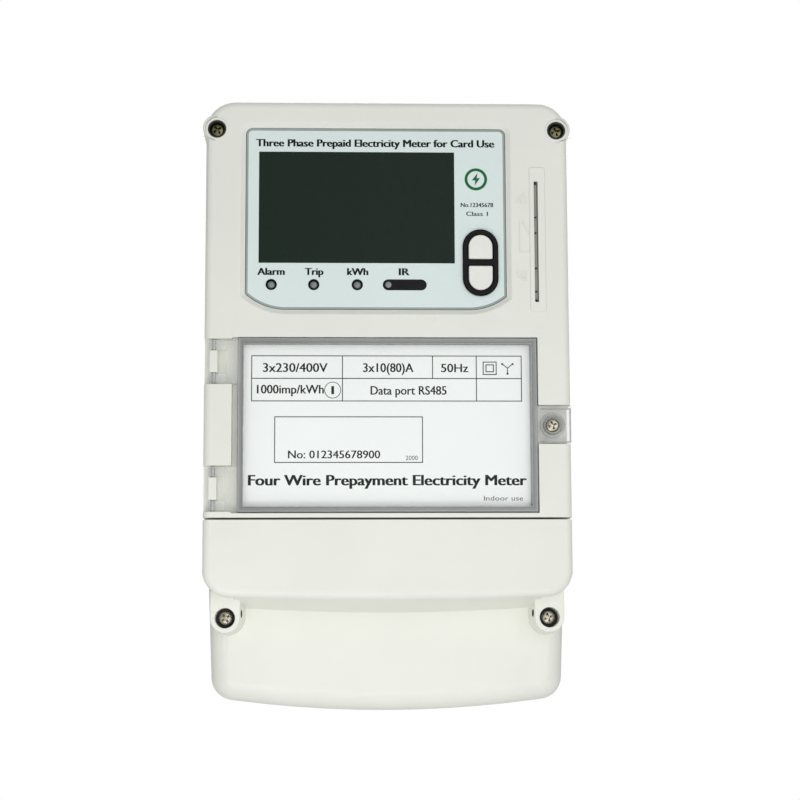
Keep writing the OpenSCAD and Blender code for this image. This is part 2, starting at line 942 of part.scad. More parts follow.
module terminal_cover_screws() {
    color("silver")
    for (s = [-1, 1])
        pan_screw(s * tab_screw_x, tab_screw_z, tab_y + tab_hole_depth - 3.6, 3.1, 2.6, 1.75, 20);
}

module terminal_screw_washers() {
    color("black")
    for (s = [-1, 1])
        difference() {
            y_rod(s * tab_screw_x, tab_screw_z, tab_hole_r - 0.05, tab_y + tab_hole_depth - 1, tab_y + tab_hole_depth);
            y_rod(s * tab_screw_x, tab_screw_z, 1.8, tab_y, tab_y + tab_hole_depth + 1);
        }
}

// ---------- terminals ----------

module terminal_block() {
    color("dimgray")
    difference() {
        union() {
            block([-block_x, block_y0, block_z0], [block_x, block_y1, block_z1]);
            // barriers between the terminals
            for (i = [0 : terminal_n])
                block([terminal_x(i) - terminal_pitch / 2 - 0.9, block_y0 - 5, block_z0],
                      [terminal_x(i) - terminal_pitch / 2 + 0.9, block_y0 + 1, aux_z0 - 1]);
        }
        for (i = [0 : terminal_n - 1]) {
            block([terminal_x(i) - brass_w / 2, cable_y - brass_d / 2, block_z0 - 1],
                  [terminal_x(i) + brass_w / 2, cable_y + brass_d / 2, brass_z1]);
            block([terminal_x(i) - bar_w / 2, cable_y - bar_t / 2, brass_z1 - 1],
                  [terminal_x(i) + bar_w / 2, cable_y + bar_t / 2, block_z1 + 1]);
            for (z = clamp_zs)
                y_rod(terminal_x(i), z, clamp_r + 0.5, block_y0 - 1, cable_y - brass_d / 2 + 1);
        }
        for (s = [-1, 1]) {
            y_rod(s * block_screw_x, block_screw_z, 1.5, block_y0, block_y1 + 1);
            y_rod(s * block_screw_x, block_screw_z, 3, block_y0 - 6, -16);
        }
    }
}

module terminal_block_screws() {
    color("silver")
    for (s = [-1, 1])
        pan_screw(s * block_screw_x, block_screw_z, -18, 2.6, 2, 1.2, 11.5);
}

module main_terminals() {
    color("goldenrod")
    for (i = [0 : terminal_n - 1])
        difference() {
            block([terminal_x(i) - brass_w / 2, cable_y - brass_d / 2, brass_z0],
                  [terminal_x(i) + brass_w / 2, cable_y + brass_d / 2, brass_z1]);
            z_rod(terminal_x(i), cable_y, cable_r, brass_z0 - 1, brass_z1 - 2);
            for (z = clamp_zs)
                y_rod(terminal_x(i), z, clamp_r, cable_y - brass_d / 2 - 1, cable_y);
        }
}

// Slotted clamp screws, two to a terminal, backed off clear of the cable bore.
module clamp_screws() {
    color("silver")
    for (i = [0 : terminal_n - 1])
        for (z = clamp_zs)
            difference() {
                y_rod(terminal_x(i), z, clamp_r, -35, cable_y - cable_r - 0.1);
                translate([terminal_x(i), -35, z])
                    cube([2 * clamp_r + 1, 3, 1], center = true);
            }
}

module busbars() {
    color("goldenrod")
    union() {
        for (i = [0 : terminal_n - 1])
            block([terminal_x(i) - bar_w / 2, cable_y - bar_t / 2, brass_z1],
                  [terminal_x(i) + bar_w / 2, cable_y + bar_t / 2, bar_top_z]);
        // the neutral goes straight through
        block([terminal_x(terminal_n - 2), cable_y - bar_t / 2, bar_top_z - 5],
              [terminal_x(terminal_n - 1), cable_y + bar_t / 2, bar_top_z]);
    }
}

module aux_terminal_block() {
    color("darkseagreen")
    difference() {
        block([aux_x(0) - 6, aux_y0, aux_z0], [aux_x(aux_n - 1) + 6, aux_y1, aux_z1]);
        for (i = [0 : aux_n - 1]) {
            block([aux_x(i) - 2.8, aux_cable_y - 3, aux_z0 - 1], [aux_x(i) + 2.8, aux_cable_y + 3, aux_z0 + 10]);
            y_rod(aux_x(i), aux_z0 + 5, 2.1, aux_y0 - 1, aux_cable_y - 2);
        }
    }
}

module aux_terminals() {
    color("silver")
    for (i = [0 : aux_n - 1])
        difference() {
            block([aux_x(i) - 2.8, aux_cable_y - 3, aux_z0 + 1], [aux_x(i) + 2.8, aux_cable_y + 3, aux_z0 + 10]);
            z_rod(aux_x(i), aux_cable_y, 1.5, aux_z0, aux_z0 + 9);
            y_rod(aux_x(i), aux_z0 + 5, 1.4, aux_cable_y - 4, aux_cable_y);
        }
}

module aux_screws() {
    color("silver")
    for (i = [0 : aux_n - 1])
        difference() {
            union() {
                y_rod(aux_x(i), aux_z0 + 5, 1.9, aux_y0 + 1.5, aux_cable_y - 3);
                y_rod(aux_x(i), aux_z0 + 5, 1.4, aux_cable_y - 3 - eps, aux_cable_y - 1.6);
            }
            translate([aux_x(i), aux_y0 + 1.5, aux_z0 + 5])
                cube([5, 1.6, 0.6], center = true);
        }
}

// ---------- electronics ----------

// Ring cores round the incoming bars of the three phases.
module current_transformers() {
    color("steelblue")
    for (i = [0 : 2 : terminal_n - 3])
        difference() {
            z_rod(terminal_x(i), cable_y, 11, -50, -40);
            block([terminal_x(i) - bar_w / 2 - 0.4, cable_y - bar_t / 2 - 0.4, -51],
                  [terminal_x(i) + bar_w / 2 + 0.4, cable_y + bar_t / 2 + 0.4, -39]);
        }
}

module latching_relays() {
    color("gray")
    for (i = [0 : 2 : terminal_n - 3])
        block([terminal_x(i) - 5, pcb_y + pcb_t, bar_top_z], [terminal_x(i + 1) + 5, -9, bar_top_z + 38]);
}

module main_pcb() {
    color("darkgreen")
    difference() {
        block([pcb_x0, pcb_y, pcb_z0], [pcb_x1, pcb_y + pcb_t, pcb_z1]);
        for (p = pcb_holes)
            y_rod(p[0], p[1], 1.6, pcb_y - 1, pcb_y + pcb_t + 1);
    }
}

module pcb_screws() {
    color("silver")
    for (p = pcb_holes)
        pan_screw(p[0], p[1], pcb_y - 2, 2.8, 2, 1.2, 12);
}

module supply_transformers() {
    color("khaki")
    for (x = [-38, -6, 26])
        union() {
            block([x - 12, -56, -44], [x + 12, pcb_y, -28]);
            block([x - 14, -52, -42], [x + 14, pcb_y - 4, -30]);
        }
}

module capacitors() {
    color("navy")
    for (x = [-46, -32, -18, -4])
        y_rod(x, -8, 5, -52, pcb_y);
}

module varistors() {
    color("royalblue")
    for (x = [14, 26, 38])
        translate([x, pcb_y - 8, -8])
            rotate([0, 90, 0])
                cylinder(r = 6, h = 4, center = true, $fn = 48);
}

module board_chips() {
    color("black")
    union() {
        block([-22, pcb_y - 1.6, 30], [-8, pcb_y, 44]);
        block([4, pcb_y - 1.8, 28], [14, pcb_y, 46]);
        for (x = [-46, -36, -26, -16])
            block([x, pcb_y - 3.4, 8], [x + 6.4, pcb_y, 14]);
    }
}

module battery_holder() {
    color("black")
    difference() {
        block([-50, pcb_y - 9, 66], [-18, pcb_y, 84]);
        translate([-48, pcb_y - 9, 75])
            rotate([0, 90, 0])
                cylinder(r = 7.5, h = 28, $fn = 48);
    }
}

module backup_battery() {
    color("limegreen")
    union() {
        translate([-46.5, pcb_y - 9, 75])
            rotate([0, 90, 0])
                cylinder(r = 7.2, h = 25, $fn = 48);
        translate([-47.6, pcb_y - 9, 75])
            rotate([0, 90, 0])
                cylinder(r = 2.6, h = 1.2, $fn = 32);
    }
}

module buzzer() {
    color("black")
    difference() {
        y_rod(20, 72, 6, pcb_y - 8, pcb_y);
        y_rod(20, 72, 1.2, pcb_y - 9, pcb_y - 7);
    }
}

// Flat cable that joins the display board to the main board.
module ribbon_cable() {
    color("lightgray")
    union() {
        block([-20, -66.4, 51], [10, -65.4, 60]);
        block([-20, -66.4, 51], [10, pcb_y, 52]);
    }
}

// A sealed micro switch with a round opening for its plunger.
module micro_switch(x, z, back_y) {
    difference() {
        block([x - 4, back_y - 6, z - 6], [x + 4, back_y, z + 6]);
        y_rod(x, z, 1.8, back_y - 7, back_y - 3);
    }
}

module plunger(x, z, back_y) {
    y_rod(x, z, 1.5, back_y - 9, back_y - 4.8);
}

module cover_switch() {
    color("black")
    micro_switch(cover_switch_x, cover_switch_z, pcb_y);
}

module cover_switch_plunger() {
    color("white")
    plunger(cover_switch_x, cover_switch_z, pcb_y);
}

module terminal_switch() {
    color("black")
    micro_switch(terminal_switch_x, terminal_switch_z, block_y0);
}

module terminal_switch_plunger() {
    color("white")
    plunger(terminal_switch_x, terminal_switch_z, block_y0);
}

// ---------- wall fixing ----------

module hanger_bracket() {
    color("silver")
    difference() {
        block([-hanger_w / 2, hanger_y, hanger_z0], [hanger_w / 2, hanger_y + hanger_t, hanger_z1]);
        y_rod(0, hanger_hole_z, fix_r, hanger_y - 1, hanger_y + hanger_t + 1);
    }
}

base();
main_cover();
case_gasket();
cover_screws();
screw_collars();
cover_lower_screws();
display_panel();
lcd_lens();
lcd_module();
display_pcb();
display_pcb_screws();
key_bezel();
upper_button();
lower_button();
key_switches();
upper_key_plunger();
lower_key_plunger();
alarm_led();
trip_led();
pulse_led();
led_bezels();
ir_window();
ir_emitter();
ir_receiver();
card_reader_body();
card_contacts();
card_reader_pcb();
nameplate();
nameplate_window();
hinge_pins();
window_screw();
window_insert();
terminal_cover();
terminal_cover_screws();
terminal_screw_washers();
terminal_block();
terminal_block_screws();
main_terminals();
clamp_screws();
busbars();
aux_terminal_block();
aux_terminals();
aux_screws();
current_transformers();
latching_relays();
main_pcb();
pcb_screws();
supply_transformers();
capacitors();
varistors();
board_chips();
backup_battery();
battery_holder();
buzzer();
ribbon_cable();
cover_switch();
cover_switch_plunger();
terminal_switch();
terminal_switch_plunger();
hanger_bracket();
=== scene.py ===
"""Prepaid electricity meter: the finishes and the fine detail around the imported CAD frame, in metres."""

import json
import math

import bpy
from mathutils import Matrix, Vector


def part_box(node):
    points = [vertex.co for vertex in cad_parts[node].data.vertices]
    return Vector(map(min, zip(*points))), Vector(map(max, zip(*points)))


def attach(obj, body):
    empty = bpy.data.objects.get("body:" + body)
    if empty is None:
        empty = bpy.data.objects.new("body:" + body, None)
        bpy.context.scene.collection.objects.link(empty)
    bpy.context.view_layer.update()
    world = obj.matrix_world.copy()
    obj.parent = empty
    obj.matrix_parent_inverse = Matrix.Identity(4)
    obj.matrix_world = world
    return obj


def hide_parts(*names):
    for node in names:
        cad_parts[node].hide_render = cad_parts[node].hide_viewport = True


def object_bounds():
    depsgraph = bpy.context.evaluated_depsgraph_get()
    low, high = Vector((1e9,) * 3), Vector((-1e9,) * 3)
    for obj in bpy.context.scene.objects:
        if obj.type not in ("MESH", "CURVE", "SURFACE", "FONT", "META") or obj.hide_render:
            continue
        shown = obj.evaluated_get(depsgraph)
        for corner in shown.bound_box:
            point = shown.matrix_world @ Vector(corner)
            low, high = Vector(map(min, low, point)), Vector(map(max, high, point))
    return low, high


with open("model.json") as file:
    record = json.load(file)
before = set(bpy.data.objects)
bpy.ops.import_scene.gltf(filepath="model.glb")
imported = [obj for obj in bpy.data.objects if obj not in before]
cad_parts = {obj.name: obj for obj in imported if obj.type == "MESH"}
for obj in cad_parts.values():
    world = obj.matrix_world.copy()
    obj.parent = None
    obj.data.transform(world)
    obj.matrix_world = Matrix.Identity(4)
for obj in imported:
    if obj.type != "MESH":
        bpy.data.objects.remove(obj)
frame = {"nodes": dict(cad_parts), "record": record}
cad_lo, cad_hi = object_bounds()
MM = 0.001


# ---------- camera, light and floor ----------

IMAGE_PX = 800
SENSOR = 36.0
FOCAL_PX = 1875
CAMERA_AT = Vector((-0.0226, -0.930, -0.1118))
YAW, PITCH, ROLL = (math.radians(a) for a in (1.9, -7.5, 0.2))


def make_camera():
    data = bpy.data.cameras.new("camera")
    data.sensor_width = SENSOR
    data.lens = FOCAL_PX * SENSOR / IMAGE_PX
    data.clip_start = 0.01
    data.clip_end = 20
    camera = bpy.data.objects.new("camera", data)
    bpy.context.scene.collection.objects.link(camera)
    turn = Matrix.Rotation(-ROLL, 3, "Y") @ Matrix.Rotation(PITCH, 3, "X") @ Matrix.Rotation(YAW, 3, "Z")
    facing = turn.transposed() @ Matrix.Rotation(math.pi / 2, 3, "X")
    camera.matrix_world = Matrix.Translation(CAMERA_AT) @ facing.to_4x4()
    bpy.context.scene.camera = camera
    bpy.context.scene.view_settings.view_transform = "Standard"


def area_light(name, at, target, size, power, colour=(1, 1, 1)):
    data = bpy.data.lights.new(name, "AREA")
    data.shape = "RECTANGLE"
    data.size, data.size_y = size
    data.energy = power
    data.color = colour
    lamp = bpy.data.objects.new(name, data)
    bpy.context.scene.collection.objects.link(lamp)
    lamp.location = at
    lamp.rotation_mode = "QUATERNION"
    lamp.rotation_quaternion = (Vector(target) - Vector(at)).to_track_quat("-Z", "Y")


def make_lights():
    area_light("key_light", (-0.25, -1.1, -0.22), (0, -0.05, -0.05), (0.9, 0.16), 0.6)
    area_light("front_fill", (0.5, -1.5, 0.15), (0, -0.05, 0), (1.2, 1.2), 6.3)
    area_light("low_fill", (-0.08, -0.42, -0.26), (0, -0.07, -0.12), (0.35, 0.10), 0.42)
    area_light("back_fill", (0.3, 1.6, 0.7), (0, 0, 0), (1.4, 1.4), 14.0)


def make_world():
    world = bpy.data.worlds.new("studio")
    bpy.context.scene.world = world
    world.use_nodes = True
    tree = world.node_tree
    tree.nodes.clear()
    out = tree.nodes.new("ShaderNodeOutputWorld")
    seen = tree.nodes.new("ShaderNodeBackground")
    lit = tree.nodes.new("ShaderNodeBackground")
    mix = tree.nodes.new("ShaderNodeMixShader")
    path = tree.nodes.new("ShaderNodeLightPath")
    seen.inputs["Color"].default_value = (1, 1, 1, 1)
    seen.inputs["Strength"].default_value = 1.0
    lit.inputs["Color"].default_value = (0.96, 0.98, 1.0, 1)
    lit.inputs["Strength"].default_value = 0.50
    tree.links.new(path.outputs["Is Camera Ray"], mix.inputs["Fac"])
    tree.links.new(lit.outputs[0], mix.inputs[1])
    tree.links.new(seen.outputs[0], mix.inputs[2])
    tree.links.new(mix.outputs[0], out.inputs["Surface"])


def make_floor():
    half, drop = 1.3, 0.19
    mesh = bpy.data.meshes.new("floor")
    z = cad_lo.z - drop
    mesh.from_pydata([(-half, -half, z), (half, -half, z), (half, half, z), (-half, half, z)], [], [(0, 1, 2, 3)])
    floor = bpy.data.objects.new("floor", mesh)
    bpy.context.scene.collection.objects.link(floor)
    material, tree, shader = new_material("floor")
    shade_between(tree, shader, (0.80, 0.80, 0.79), (0.84, 0.84, 0.83), scale=6)
    shader.inputs["Roughness"].default_value = 0.8
    mesh.materials.append(material)


# ---------- material helpers ----------


def new_material(name):
    material = bpy.data.materials.new(name)
    material.use_nodes = True
    tree = material.node_tree
    return material, tree, tree.nodes["Principled BSDF"]


def object_place(tree, stretch=(1, 1, 1)):
    """The point on the object, in metres, so that a pattern stays on its piece at every pose."""
    found = tree.nodes.new("ShaderNodeTexCoord").outputs["Object"]
    if tuple(stretch) == (1, 1, 1):
        return found
    mapping = tree.nodes.new("ShaderNodeMapping")
    mapping.inputs["Scale"].default_value = stretch
    tree.links.new(found, mapping.inputs["Vector"])
    return mapping.outputs["Vector"]


def noise(tree, scale, detail=2.0, roughness=0.5, stretch=(1, 1, 1), distortion=0.0):
    node = tree.nodes.new("ShaderNodeTexNoise")
    node.inputs["Scale"].default_value = scale
    node.inputs["Detail"].default_value = detail
    node.inputs["Roughness"].default_value = roughness
    node.inputs["Distortion"].default_value = distortion
    tree.links.new(object_place(tree, stretch), node.inputs["Vector"])
    return node.outputs["Fac"]


def ranged(tree, value, low, high, from_low=0.3, from_high=0.7):
    node = tree.nodes.new("ShaderNodeMapRange")
    node.inputs["From Min"].default_value = from_low
    node.inputs["From Max"].default_value = from_high
    node.inputs["To Min"].default_value = low
    node.inputs["To Max"].default_value = high
    tree.links.new(value, node.inputs["Value"])
    return node.outputs["Result"]


def mixed(tree, share, first, second):
    """A colour between two, which may be plain colours or sockets."""
    node = tree.nodes.new("ShaderNodeMix")
    node.data_type = "RGBA"
    for socket, value in ((node.inputs[6], first), (node.inputs[7], second)):
        if isinstance(value, tuple):
            socket.default_value = (*value, 1)
        else:
            tree.links.new(value, socket)
    tree.links.new(share, node.inputs["Factor"])
    return node.outputs[2]


def shade_between(tree, shader, dark, light, scale, detail=3.0):
    colour = mixed(tree, ranged(tree, noise(tree, scale, detail), 0, 1), dark, light)
    tree.links.new(colour, shader.inputs["Base Color"])
    return colour


def rough_between(tree, shader, low, high, scale, stretch=(1, 1, 1)):
    value = ranged(tree, noise(tree, scale, 3.0, 0.6, stretch), low, high)
    tree.links.new(value, shader.inputs["Roughness"])


def bumped(tree, shader, height, distance, strength=1.0):
    node = tree.nodes.new("ShaderNodeBump")
    node.inputs["Strength"].default_value = strength
    node.inputs["Distance"].default_value = distance
    tree.links.new(height, node.inputs["Height"])
    tree.links.new(node.outputs["Normal"], shader.inputs["Normal"])


def scaled(colour, by):
    return tuple(min(1.0, c * by) for c in colour)


# ---------- finishes, one for each material slot ----------

WINDOW_HALF_W = 68.6 * MM
WINDOW_BAND = 2.7 * MM
# painted shade greys and cover across the band, from its inner line at 0 to the sheet's edge at 0.5; past that lies
# the clear leaf. The band paints the shadowed skirt and gap behind the sheet's edge, with darker and lighter lines.
BAND_SHADE_GREYS = (
    (0.0, 0.8), (0.01, 0.34), (0.06, 0.45), (0.09, 0.14), (0.14, 0.27),
    (0.36, 0.36), (0.44, 0.50), (0.47, 0.14), (0.5, 0.30), (0.52, 0.85),
)
BAND_COVER = ((0.0, 0.012), (0.015, 0.8), (0.3, 0.75), (0.5, 0.7), (0.52, 0.10))
BAND_TINT = 0.985  # red and blue against green


def moulded(name, colour, rough=0.42, grain=0.00002, grain_scale=2600, spread=0.02, coat=0.0, specular=0.5):
    """Injection-moulded plastic: faint flow shading, a fine spark-eroded grain and a satin gloss."""
    material, tree, shader = new_material(name)
    shade_between(tree, shader, scaled(colour, 1 - spread), scaled(colour, 1 + spread), scale=28)
    rough_between(tree, shader, rough - 0.05, rough + 0.07, scale=220)
    bumped(tree, shader, noise(tree, grain_scale, 2.0, 0.6), grain, 0.5)
    shader.inputs["Specular IOR Level"].default_value = specular
    shader.inputs["Coat Weight"].default_value = coat
    shader.inputs["Coat Roughness"].default_value = 0.12
    return material


def metal(name, colour, rough=0.28, stretch=(1, 1, 1), scale=900, spread=0.12, bump=0.00001):
    """Plated or machined metal with fine tooling lines and slightly uneven tarnish."""
    material, tree, shader = new_material(name)
    shade_between(tree, shader, scaled(colour, 1 - spread), scaled(colour, 1 + spread / 2), scale=320)
    rough_between(tree, shader, rough - 0.08, rough + 0.14, scale=scale, stretch=stretch)
    bumped(tree, shader, noise(tree, scale, 3.0, 0.7, stretch), bump, 0.6)
    shader.inputs["Metallic"].default_value = 1.0
    return material


def clear(name, cover=0.05, tint=(0.80, 0.82, 0.80), ripple=0.0):
    """Clear moulded polycarbonate: mostly see-through, with a soft sheen and faint flow ripples."""
    material, tree, shader = new_material(name)
    shade_between(tree, shader, scaled(tint, 0.9), tint, scale=150)
    shader.inputs["IOR"].default_value = 1.58
    tree.links.new(ranged(tree, noise(tree, 120, 2.0), cover, cover + 0.35 * cover + ripple), shader.inputs["Alpha"])
    rough_between(tree, shader, 0.08, 0.16, scale=60)
    bumped(tree, shader, noise(tree, 300, 2.0), 0.0002 * (1 if ripple else 0.05), 0.4)
    return material


def window_sheet(name):
    """The window's plate. Near its edge it is painted as a grey band with fine lines: painted shade for the shadowed
    skirt and gap behind it.
    """
    material, tree, shader = new_material(name)
    low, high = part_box("nameplate_window")
    middle, half = (low.z + high.z) / 2, (high.z - low.z) / 2
    split = tree.nodes.new("ShaderNodeSeparateXYZ")
    tree.links.new(object_place(tree), split.inputs["Vector"])

    def sum_of(kind, first, second):
        node = tree.nodes.new("ShaderNodeMath")
        node.operation = kind
        for socket, value in zip(node.inputs, (first, second)):
            if isinstance(value, float):
                socket.default_value = value
            else:
                tree.links.new(value, socket)
        return node.outputs[0]

    across = sum_of("SUBTRACT", sum_of("ABSOLUTE", split.outputs["X"], 0.0), WINDOW_HALF_W - WINDOW_BAND)
    up = sum_of("ABSOLUTE", sum_of("SUBTRACT", split.outputs["Z"], middle), 0.0)
    near_edge = sum_of("MAXIMUM", across, sum_of("SUBTRACT", up, half - WINDOW_BAND))
    waved = sum_of("MULTIPLY_ADD", noise(tree, 260, 2.0), 0.0004)
    waved.node.inputs[2].default_value = -0.0002
    edge = ranged(tree, sum_of("ADD", near_edge, waved), 0, 1, 0.0, 2 * WINDOW_BAND)
    # painted shade: the grey band and its cover near the sheet's edge stand for the shadowed skirt and gap behind it
    for socket, stops in (("Base Color", BAND_SHADE_GREYS), ("Alpha", BAND_COVER)):
        ramp = tree.nodes.new("ShaderNodeValToRGB")
        while len(ramp.color_ramp.elements) < len(stops):
            ramp.color_ramp.elements.new(0.5)
        for element, (at, value) in zip(ramp.color_ramp.elements, stops):
            element.position = at
            tint = BAND_TINT if socket == "Base Color" else 1
            element.color = (value * tint, value, value * tint, 1)
        tree.links.new(edge, ramp.inputs["Fac"])
        tree.links.new(ramp.outputs["Color"], shader.inputs[socket])
    shader.inputs["IOR"].default_value = 1.5
    rough_between(tree, shader, 0.10, 0.18, scale=40)
    bumped(tree, shader, noise(tree, 70, 1.0), 0.00003, 0.2)
    return material


def board(name):
    """Solder mask over fine copper tracks."""
    material, tree, shader = new_material(name)
    brick = tree.nodes.new("ShaderNodeTexBrick")
    brick.inputs["Scale"].default_value = 160
    brick.inputs["Mortar Size"].default_value = 0.03
    brick.inputs["Color1"].default_value = (0.012, 0.13, 0.045, 1)
    brick.inputs["Color2"].default_value = (0.02, 0.17, 0.06, 1)
    brick.inputs["Mortar"].default_value = (0.05, 0.30, 0.12, 1)
    turned = object_place(tree)
    swap = tree.nodes.new("ShaderNodeMapping")
    swap.inputs["Rotation"].default_value = (math.pi / 2, 0, 0)
    tree.links.new(turned, swap.inputs["Vector"])
    tree.links.new(swap.outputs["Vector"], brick.inputs["Vector"])
    tree.links.new(brick.outputs["Color"], shader.inputs["Base Color"])
    rough_between(tree, shader, 0.25, 0.38, scale=300)
    bumped(tree, shader, brick.outputs["Fac"], 0.00003, 0.5)
    return material


def paper(name, colour):
    """The printed nameplate: smooth coated board with a faint fibre."""
    material, tree, shader = new_material(name)
    shade_between(tree, shader, scaled(colour, 0.985), scaled(colour, 1.01), scale=18)
    rough_between(tree, shader, 0.42, 0.5, scale=900)
    bumped(tree, shader, noise(tree, 1800, 3.0, 0.7), 0.00001, 0.3)
    return material


FINISHES = {
    "ivory_case": lambda n: moulded(n, (0.81, 0.815, 0.745), rough=0.42),
    "ivory_key": lambda n: moulded(n, (0.83, 0.82, 0.77), rough=0.42, grain=0.00001),
    "panel_print": lambda n: moulded(n, (0.72, 0.815, 0.79), rough=0.38, grain=0.000006, spread=0.012),
    "lens_smoke": lambda n: moulded(n, (0.0135, 0.0235, 0.0170), rough=0.3, grain=0.0000004, specular=0.07),
    "clear_window": window_sheet,
    "clear_arm": lambda n: clear(n, 0.16, tint=(0.90, 0.91, 0.89), ripple=0.06),
    # half-opaque grey: painted shade for the darkness seen in clear edges
    "clear_rim": lambda n: clear(n, 0.5, tint=(0.42, 0.42, 0.39), ripple=0.4),
    "label_paper": lambda n: paper(n, (0.94, 0.965, 0.94)),
    "print_black": lambda n: moulded(n, (0.006, 0.007, 0.006), rough=0.6, specular=0.15, grain=0.000002, spread=0.2),
    "print_grey": lambda n: moulded(n, (0.03, 0.036, 0.033), rough=0.6, specular=0.2, grain=0.000002, spread=0.1),
    "print_green": lambda n: moulded(n, (0.005, 0.135, 0.04), rough=0.5, specular=0.2, grain=0.000002, spread=0.06),
    # panel_edge: colour of the painted shade line round the display panel
    "panel_edge": lambda n: moulded(n, (0.30, 0.35, 0.33), rough=0.45, grain=0.000004, spread=0.08),
    "reader_grey": lambda n: moulded(n, (0.42, 0.43, 0.39), rough=0.4, spread=0.08),
    "black_plastic": lambda n: moulded(n, (0.02, 0.02, 0.02), rough=0.45, spread=0.15),
    "black_gloss": lambda n: moulded(
        n, (0.003, 0.003, 0.003), rough=0.16, grain=0.000001, spread=0.15, specular=0.10
    ),
    "grey_plastic": lambda n: moulded(n, (0.16, 0.165, 0.17), rough=0.45, spread=0.06),
    "green_plastic": lambda n: moulded(n, (0.16, 0.30, 0.21), rough=0.42, spread=0.05),
    "white_plastic": lambda n: moulded(n, (0.74, 0.74, 0.71), rough=0.45),
    "blue_plastic": lambda n: moulded(n, (0.02, 0.07, 0.24), rough=0.3, spread=0.08),
    "board_green": board,
    "rubber_black": lambda n: moulded(n, (0.018, 0.018, 0.018), rough=0.62, grain=0.00004, spread=0.2),
    "rubber_grey": lambda n: moulded(n, (0.09, 0.09, 0.09), rough=0.75, grain=0.00006, spread=0.1),
    "nickel": lambda n: metal(n, (0.46, 0.43, 0.35), rough=0.28),
    "olive_plate": lambda n: metal(n, (0.17, 0.16, 0.085), rough=0.32),
    "zinc_steel": lambda n: metal(n, (0.58, 0.60, 0.62), rough=0.34),
    "pin_steel": lambda n: metal(n, (0.36, 0.36, 0.35), rough=0.22, stretch=(1, 1, 0.05)),
    "brass": lambda n: metal(n, (0.72, 0.50, 0.19), rough=0.26, stretch=(1, 1, 0.1)),
    "gold": lambda n: metal(n, (0.86, 0.60, 0.20), rough=0.18),
    "tinned": lambda n: metal(n, (0.66, 0.66, 0.64), rough=0.3, stretch=(1, 1, 0.2)),
    "led_lens": lambda n: moulded(n, (0.22, 0.235, 0.235), rough=0.2, grain=0.000004, spread=0.1),
    "ir_black": lambda n: moulded(n, (0.004, 0.003, 0.004), rough=0.2, grain=0.000001, spread=0.2, specular=0.12),
    "lcd_dark": lambda n: moulded(n, (0.03, 0.04, 0.036), rough=0.3, spread=0.1),
    "battery_green": lambda n: moulded(n, (0.02, 0.20, 0.06), rough=0.26, spread=0.08),
    "core_blue": lambda n: moulded(n, (0.02, 0.09, 0.26), rough=0.34, spread=0.1),
    "tape_yellow": lambda n: moulded(n, (0.55, 0.38, 0.05), rough=0.38, spread=0.08),
    "cable_grey": lambda n: moulded(n, (0.28, 0.29, 0.30), rough=0.48, spread=0.06),
}


SLOT_OF = {part["node"]: part["material_slot"] for part in frame["record"]["subparts"]}
finishes = {slot: make(slot) for slot, make in FINISHES.items()}


# ---------- CAD nodes: finish and softened edges ----------

EDGE_RADIUS = {
    "base": 0.3, "main_cover": 0.3, "terminal_cover": 0.3, "nameplate_window": 0.22, "card_reader_body": 0.3,
    "terminal_block": 0.3, "key_bezel": 0.5, "upper_button": 0.6, "lower_button": 0.6,
    "display_panel": 0.1, "lcd_lens": 0.15, "nameplate": 0.05, "hanger_bracket": 0.15, "case_gasket": 0.2,
    "screw_collars": 0.2, "supply_transformers": 0.3, "latching_relays": 0.4, "current_transformers": 0.3,
}
SMALL_EDGE = 0.12


def soften(node, radius):
    """Rounds a CAD node's sharp edges as moulding and deburring do. Its own vertices stay as they are."""
    for polygon in node.data.polygons:
        polygon.use_smooth = True
    if "custom_normal" in node.data.attributes:
        node.data.attributes.remove(node.data.attributes["custom_normal"])
    weld = node.modifiers.new("weld", "WELD")
    weld.merge_threshold = 0.000001
    flat = node.modifiers.new("flat", "DECIMATE")
    flat.decimate_type = "DISSOLVE"
    flat.angle_limit = math.radians(0.5)
    bevel = node.modifiers.new("bevel", "BEVEL")
    bevel.width = radius * MM
    bevel.segments = 3
    bevel.limit_method = "ANGLE"
    bevel.angle_limit = math.radians(38)
    bevel.use_clamp_overlap = False
    bevel.miter_outer = "MITER_ARC"
    node.modifiers.new("normals", "WEIGHTED_NORMAL").keep_sharp = False


def finish_nodes():
    for name, node in frame["nodes"].items():
        node.data.materials.clear()
        node.data.materials.append(finishes[SLOT_OF[name]])
        soften(node, EDGE_RADIUS.get(name, SMALL_EDGE))


# ---------- building blocks for new pieces ----------


